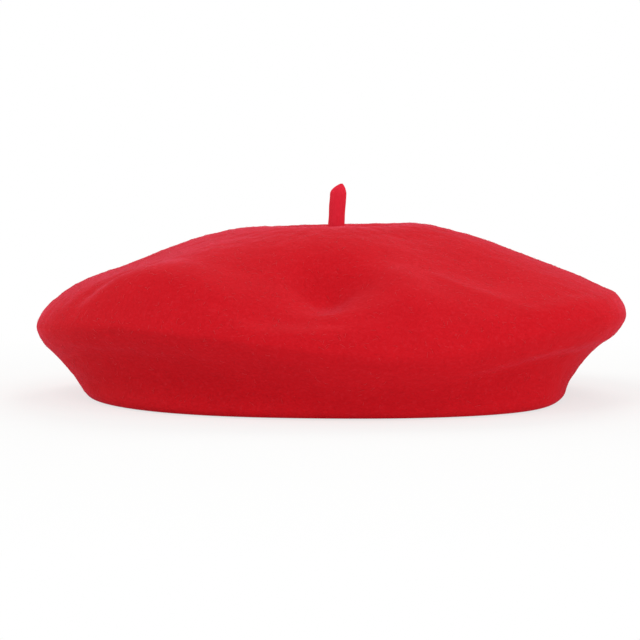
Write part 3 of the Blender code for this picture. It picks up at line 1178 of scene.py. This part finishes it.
@dataclass
class SewingThread:
    """Three-ply sewing thread, with its plies modelled."""

    diameter: float = 0.0007
    plies: int = 3
    twist_length: float = 0.0047
    groove_depth: float = 0.16
    sides: int = 12
    step: float = 0.0005

    # A direction in which no thread starts, to turn its first ring by
    aside: tuple[float, float, float] = (0.3, 0.5, 0.8)

    def strand(self, path: np.ndarray) -> tuple[np.ndarray, np.ndarray]:
        """The thread's skin along a path.

        Args:
            path: Points along the thread's middle.

        Returns:
            Points, in rings, and how far each one stands out on its ply, from 0 to 1.
        """
        path = evenly(path, self.step)
        ahead = unit(np.gradient(path, axis=0))
        across = np.zeros_like(path)
        last = np.cross(ahead[0], self.aside)
        for i, way in enumerate(ahead):
            last = unit(last - (last @ way) * way)
            across[i] = last
        over = np.cross(across, ahead)
        turns = turns_of(self.sides)
        runs = self.step * np.arange(len(path))
        lobes = (1 + np.cos(self.plies * (turns - FULL_TURN * runs[:, None] / self.twist_length))) / 2
        radius = self.diameter / 2 * (1 - self.groove_depth * (1 - lobes))
        round_it = across[:, None] * np.cos(turns)[:, None] + over[:, None] * np.sin(turns)[:, None]
        return path[:, None] + radius[..., None] * round_it, lobes

    def lay(self, name: str, paths: list[np.ndarray], material: bpy.types.Material) -> bpy.types.Object:
        """Lays thread along one or more paths, as one piece.

        Args:
            name: The piece's name.
            paths: Points along each strand's middle.
            material: The thread's material.

        Returns:
            The piece.
        """
        points, faces, lobes = [], [], []
        count = 0
        for path in paths:
            rings, ring_lobes = self.strand(path)
            faces += [[count + i for i in face] for face in tube_faces(len(rings), self.sides)]
            points.append(rings.reshape(-1, 3))
            lobes.append(ring_lobes.ravel())
            count += rings.shape[0] * self.sides
        piece = mesh_piece(name, np.concatenate(points), faces, material)
        keep_places(piece, REST_PLACE, np.concatenate(points))
        # How far each point stands out on its ply, for the material's painted shade in the grooves
        keep_places(piece, PLY_TWIST, np.repeat(np.concatenate(lobes)[:, None], 3, axis=1))
        return piece


@dataclass
class Sweatband:
    """The ribbon inside the hem, its zigzag seam, and the bar tack that closes its lap at the back."""

    head_girth: float = 0.565
    width: float = 0.020
    thickness: float = 0.0008
    bottom: float = 0.005
    layer_gap: float = 0.0003
    back: float = math.pi / 2
    lap_turn: float = math.radians(16.875)
    lap_ease: float = math.radians(11.25)

    # Ribs across the ribbon, and how the ribbon stands off the hem here and there
    rib_spacing: float = 0.0012
    rib_depth: float = 0.00013
    scallop: float = 0.00016
    rib_steps: int = 4
    face_points: int = 6
    back_points: int = 3
    edge_points: int = 3
    slack: float = 0.0006
    slack_length: float = 0.055

    # Sewing
    stitches: int = 96
    stitch_height: float = 0.004
    stitch_above_edge: float = 0.001
    tack_passes: int = 15
    tack_width: float = 0.005
    tack_low: float = 0.012
    tack_high: float = 0.023
    lift: float = 0.0003
    sink: float = 0.0005
    stitch_points: int = 9
    dive_sharpness: int = 5

    @property
    def radius(self) -> float:
        """The radius of the face that meets the head."""
        return self.head_girth / FULL_TURN

    @property
    def step_in(self) -> float:
        """How far the lap's upper layer lies inside the lower one."""
        return self.thickness + self.layer_gap

    @property
    def ribbon_length(self) -> float:
        """The ribbon's length before sewing, measured along its middle."""
        return (FULL_TURN + self.lap_turn) * (self.radius + self.thickness / 2)

    def place(self, radius: np.ndarray, run: np.ndarray, height: np.ndarray) -> np.ndarray:
        """Points at a radius and height, at an angle from the start of the lap."""
        x, y = radius * np.cos(self.back + run), radius * np.sin(self.back + run)
        return np.stack(np.broadcast_arrays(x, y, height), axis=-1)

    def lean(self, run: np.ndarray, height: np.ndarray) -> np.ndarray:
        """How far the ribbon stands in from the hem, more towards its top.

        Args:
            run: Angles from the start of the lap.
            height: Heights at those angles.

        Returns:
            The distance at each place.
        """
        round_it = self.place(self.radius, run, 0 * run)
        share = np.clip((height - self.bottom) / self.width, 0, 1) ** 2
        return self.slack * share * (0.5 + 0.5 * ripple(round_it, self.slack_length))

    def face_radius(self, run: np.ndarray, height: np.ndarray) -> np.ndarray:
        """Radius of the inmost face, which steps in where the ribbon laps.

        Args:
            run: Angles from the start of the lap.
            height: Heights at those angles.

        Returns:
            The radius at each place.
        """
        run = np.mod(run, FULL_TURN)
        coming = ease((run - (FULL_TURN - self.lap_ease)) / self.lap_ease)
        leaving = 1 - ease((run - self.lap_turn) / self.lap_ease)
        return self.radius - self.step_in * np.maximum(coming, leaving) - self.lean(run, height)

    def section(self) -> np.ndarray:
        """The outline of the ribbon's cross-section.

        Returns:
            For each point, its share of half the thickness (above zero towards the head), its height up the
            ribbon, and its share of the selvedge's scallop.
        """
        half = self.thickness / 2
        turns = np.linspace(0, math.pi, self.edge_points + 2)[1:-1]
        rise = half * np.sin(turns)
        heights = np.linspace(half, self.width - half, self.face_points)
        back_heights = np.linspace(self.width - half, half, self.back_points)
        face = np.stack([np.ones_like(heights), heights, 0 * heights], axis=1)
        top = np.stack([np.cos(turns), self.width - half + rise, np.sin(turns)], axis=1)
        back = np.stack([-np.ones_like(back_heights), back_heights, 0 * back_heights], axis=1)
        low = np.stack([-np.cos(turns), half - rise, -np.sin(turns)], axis=1)
        return np.concatenate([face, top, back, low])

    def build_ribbon(self, grosgrain: bpy.types.Material) -> bpy.types.Object:
        """Makes the ribbon once round inside the hem, with its last end lapped over its first.

        Args:
            grosgrain: The ribbon's material.

        Returns:
            The piece.
        """
        ribs = round(self.ribbon_length / self.rib_spacing)
        along = np.linspace(0, ribs, ribs * self.rib_steps + 1)[:, None]
        run = along / ribs * (FULL_TURN + self.lap_turn)
        crest = (1 + np.cos(FULL_TURN * along)) / 2
        out, up, edge = self.section().T
        half = self.thickness / 2 - self.rib_depth * (1 - crest)
        height = self.bottom + up + self.scallop * (crest - 1) * edge
        lapped = self.step_in * ease((run - (FULL_TURN - self.lap_ease)) / self.lap_ease)
        middle = self.radius + self.thickness / 2 - lapped - self.lean(run + 0 * height, height)
        rings = self.place(middle - out * half, run, height)
        piece = mesh_piece("sweatband_ribbon", rings, tube_faces(len(rings), len(up)), grosgrain)
        # The rib's height goes with each point, for the material's painted shade in the valleys
        places = np.stack(np.broadcast_arrays(along, up, crest), axis=-1)
        keep_places(piece, REST_PLACE, places)
        return piece

    def stitched(self, holes: list[tuple[float, float]]) -> np.ndarray:
        """A thread's path over the ribbon, down into it at each needle hole.

        Args:
            holes: The angle from the start of the lap, and the height, of each hole.

        Returns:
            Points along the thread's middle.
        """
        share = np.linspace(0, 1, self.stitch_points, endpoint=False)
        ends = np.array(holes)
        legs = ends[:-1, None] + share[:, None] * np.diff(ends, axis=0)[:, None]
        run, height = legs.reshape(-1, 2).T
        dive = np.abs(2 * np.tile(share, len(ends) - 1) - 1) ** self.dive_sharpness
        stand = self.lift - (self.lift + self.sink) * dive
        return self.place(self.face_radius(run, height) - stand, run, height)

    def build_seam(self, thread: SewingThread, material: bpy.types.Material) -> bpy.types.Object:
        """Sews the zigzag round the ribbon's lower edge.

        Args:
            thread: The sewing thread.
            material: Its material.

        Returns:
            The piece.
        """
        low = self.bottom + self.stitch_above_edge
        turns = math.pi * np.arange(2 * self.stitches + 1) / self.stitches
        holes = [(turn, low + self.stitch_height * ((i + 1) % 2)) for i, turn in enumerate(turns)]
        return thread.lay("sweatband_zigzag", [self.stitched(holes)], material)

    def build_tack(self, thread: SewingThread, material: bpy.types.Material) -> bpy.types.Object:
        """Sews the bar tack up the ribbon's lap.

        Args:
            thread: The sewing thread.
            material: Its material.

        Returns:
            The piece.
        """
        half_turn = self.tack_width / self.radius / 2
        heights = np.linspace(self.tack_low, self.tack_high, self.tack_passes)
        holes = [(self.lap_turn / 2 + half_turn * (-1) ** i, height) for i, height in enumerate(heights)]
        return thread.lay("sweatband_bar_tack", [self.stitched(holes)], material)


@dataclass
class StemKnot:
    """The stitches under the crown that hold the stem: a crossed star, a binding and two cut tails."""

    star_radius: float = 0.0028
    star_height: float = 0.0014
    star_passes: int = 9
    star_dome: float = 0.0005
    binding_radius: float = 0.0021
    binding_start_share: float = 0.62
    binding_height: float = 0.0005
    binding_rise: float = 0.0004
    binding_turns: int = 3
    shank_radius: float = 0.0006
    shank_height: float = 0.0008
    shank_strands: int = 4
    shank_twist: float = 1.6
    tail_start: float = 0.0008
    tail_height: float = 0.0009
    tail_length: float = 0.0065
    tail_curl: float = 0.0022
    tail_bend: float = 2.2
    tail_sway: float = 0.0012
    tail_droop: float = 1.3
    shorter_tail_share: float = 0.7
    path_points: int = 24

    def build(self, thread: SewingThread, material: bpy.types.Material) -> bpy.types.Object:
        """Sews the knot.

        Args:
            thread: The sewing thread.
            material: Its material.

        Returns:
            The piece.
        """
        low, high = (np.array(corner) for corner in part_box("stem_tack"))
        middle = np.array(((low[0] + high[0]) / 2, (low[1] + high[1]) / 2, low[2]))
        paths = [self.star(), self.binding(), *self.tails(), *self.shank(high[2] - low[2])]
        return thread.lay("stem_knot", [middle + path for path in paths], material)

    def star(self) -> np.ndarray:
        """Stitches that cross at the middle.

        Returns:
            Points along the thread, from the knot's middle and lowest level.
        """
        turns = np.linspace(0, math.pi * self.star_passes, self.star_passes * self.path_points)
        out = self.star_radius * np.cos(turns)
        aim = turns / self.star_passes * (1 + 1 / self.star_passes)
        height = self.star_height - self.star_dome * (1 - (out / self.star_radius) ** 2)
        return np.stack([out * np.cos(aim), out * np.sin(aim), height], axis=1)

    def binding(self) -> np.ndarray:
        """Turns wound round the star's middle.

        Returns:
            Points along the thread, from the knot's middle and lowest level.
        """
        turns = np.linspace(0, FULL_TURN * self.binding_turns, self.binding_turns * self.path_points)
        share = np.linspace(0, 1, len(turns))
        out = self.binding_radius * (self.binding_start_share + (1 - self.binding_start_share) * share)
        height = self.binding_height + self.binding_rise * share
        return np.stack([out * np.cos(turns), out * np.sin(turns), height], axis=1)

    def tails(self) -> list[np.ndarray]:
        """The thread's two cut ends, which hang and curl.

        Returns:
            Points along each end, from the knot's middle and lowest level.
        """
        share = np.linspace(0, 1, self.path_points)
        ends = []
        for side, reach in ((1, 1.0), (-1, self.shorter_tail_share)):
            out = self.tail_start + self.tail_curl * reach * np.sin(share * self.tail_bend)
            sway = self.tail_sway * side * share**2
            height = self.tail_height - self.tail_length * reach * share**self.tail_droop
            ends.append(np.stack([side * out, sway, height], axis=1))
        return ends

    def shank(self, rise: float) -> list[np.ndarray]:
        """Strands that go up through the felt to the stem.

        Args:
            rise: Height of the knot with its shank.

        Returns:
            Points along each strand, from the knot's middle and lowest level.
        """
        share = np.linspace(0, 1, self.path_points)
        strands = []
        height = self.shank_height + (rise - self.shank_height) * share
        out = self.shank_radius
        for first_turn in turns_of(self.shank_strands):
            turns = first_turn + self.shank_twist * share
            strands.append(np.stack([out * np.cos(turns), out * np.sin(turns), height], axis=1))
        return strands


@dataclass
class Lamp:
    """A soft round lamp that points at the hat. Its turn is in degrees to the right of the camera."""

    name: str
    turn: float
    rise: float
    power: float
    size: float = 0.9
    distance: float = 1.8

    def build(self, aim: Vector) -> None:
        """Makes the lamp.

        Args:
            aim: The point that it faces.
        """
        turn, rise = math.radians(self.turn), math.radians(self.rise)
        level = math.cos(rise)
        way = Vector((math.sin(turn) * level, -math.cos(turn) * level, math.sin(rise)))
        data = bpy.data.lights.new(self.name, "AREA")
        data.shape = "DISK"
        data.size = self.size
        data.energy = self.power
        lamp = bpy.data.objects.new(self.name, data)
        lamp.location = aim + self.distance * way
        lamp.rotation_euler = way.to_track_quat("Z", "Y").to_euler()
        bpy.context.scene.collection.objects.link(lamp)


@dataclass
class Studio:
    """White floor, plain soft light and the photograph's camera."""

    camera_place: tuple[float, float, float] = (-0.0049, -0.9, 0.085)
    camera_pitch: float = 86.65
    lens_mm: float = 114.3
    sensor_mm: float = 36.0
    floor_size: float = 12.0
    floor_drop: float = 0.0003
    ambient: float = 0.5
    aim: tuple[float, float, float] = (0.0, 0.0, 0.04)
    lamps: tuple[Lamp, ...] = (
        Lamp("high left lamp", -32, 50, 6.1),
        Lamp("high right lamp", 33, 48, 4.6),
        Lamp("low right lamp", 33, 8, 9.4),
        Lamp("low left lamp", -35, 8, 0.5),
        Lamp("right side lamp", 70, 8, 0.4),
        Lamp("left rim lamp", -110, 8, 13.5),
        Lamp("back lamp", 168, 42, 9.5),
    )

    def build(self, paper: bpy.types.Material) -> None:
        """Makes the camera, the lamps, the world and the floor.

        Args:
            paper: The floor's material.
        """
        scene = bpy.context.scene
        scene.view_settings.view_transform = "Standard"
        data = bpy.data.cameras.new("camera")
        data.lens = self.lens_mm
        data.sensor_width = self.sensor_mm
        camera = bpy.data.objects.new("camera", data)
        camera.location = self.camera_place
        camera.rotation_euler = (math.radians(self.camera_pitch), 0, 0)
        scene.collection.objects.link(camera)
        scene.camera = camera
        for lamp in self.lamps:
            lamp.build(Vector(self.aim))
        self.build_world()
        half, low = self.floor_size / 2, -self.floor_drop
        corners = [(-half, -half, low), (half, -half, low), (half, half, low), (-half, half, low)]
        mesh_piece("floor", np.array(corners), [[0, 1, 2, 3]], paper)

    def build_world(self) -> None:
        """Makes the light from all round, which the camera sees as white."""
        world = bpy.data.worlds.new("white studio")
        world.use_nodes = True
        tree = world.node_tree
        tree.nodes.clear()
        level = add_node(tree, "MapRange", {"To Min": self.ambient}, {"Value": seen_directly(tree)})
        light = add_node(tree, "Background", {"Color": (1, 1, 1, 1)}, {"Strength": level.outputs[0]})
        add_node(tree, "OutputWorld", {}, {"Surface": light.outputs[0]})
        bpy.context.scene.world = world


def press_with_crown(piece: bpy.types.Object) -> None:
    """Makes a piece ride on the hat, with a mesh of its own.

    Args:
        piece: The mesh object.
    """
    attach(piece, Body.HAT.value)
    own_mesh(piece)


def main() -> None:
    """Builds the studio, then each piece of the hat, and hands each one but the stem's two pieces to its
    body.
    """
    logging.basicConfig(level=logging.INFO, format="%(name)s: %(message)s")
    Studio().build(StudioPaper().material())

    crown = FeltCrown()
    shell = crown.build(WoolFelt().material())
    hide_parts("felt_crown")
    fibres = LooseFibres().build(crown, WoolFibre().material())
    for piece in (shell, fibres):
        press_with_crown(piece)
        log.info("%s: %d points", piece.name, len(piece.data.vertices))

    stem = FeltStem()
    # The stem's felt is coloured paler than the crown's: painted sheen
    foot, stalk = stem.build(SheenPaintedFeltCord().material())
    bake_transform(foot)
    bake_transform(stalk)
    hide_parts("stem_root")
    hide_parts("stem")
    for piece in (foot, stalk):
        log.info("%s: %d points", piece.name, len(piece.data.vertices))

    grosgrain = GrosgrainRibbon().material()
    spun = SpunThread().material()
    thread = SewingThread()
    band = Sweatband()
    ribbon = band.build_ribbon(grosgrain)
    zigzag = band.build_seam(thread, spun)
    tack = band.build_tack(thread, spun)
    knot = StemKnot().build(thread, spun)
    for piece, node, slot in (
        (ribbon, "sweatband", Slot.RIBBON),
        (zigzag, "sweatband_thread", Slot.THREAD),
        (tack, "sweatband_lap_tack", Slot.THREAD),
        (knot, "stem_tack", Slot.THREAD),
    ):
        if piece is knot:
            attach(piece, Body.CENTRE.value)
        else:
            press_with_crown(piece)
        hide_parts(node)
        log.info("%s: %d points", piece.name, len(piece.data.vertices))


if __name__ == "__main__":
    main()
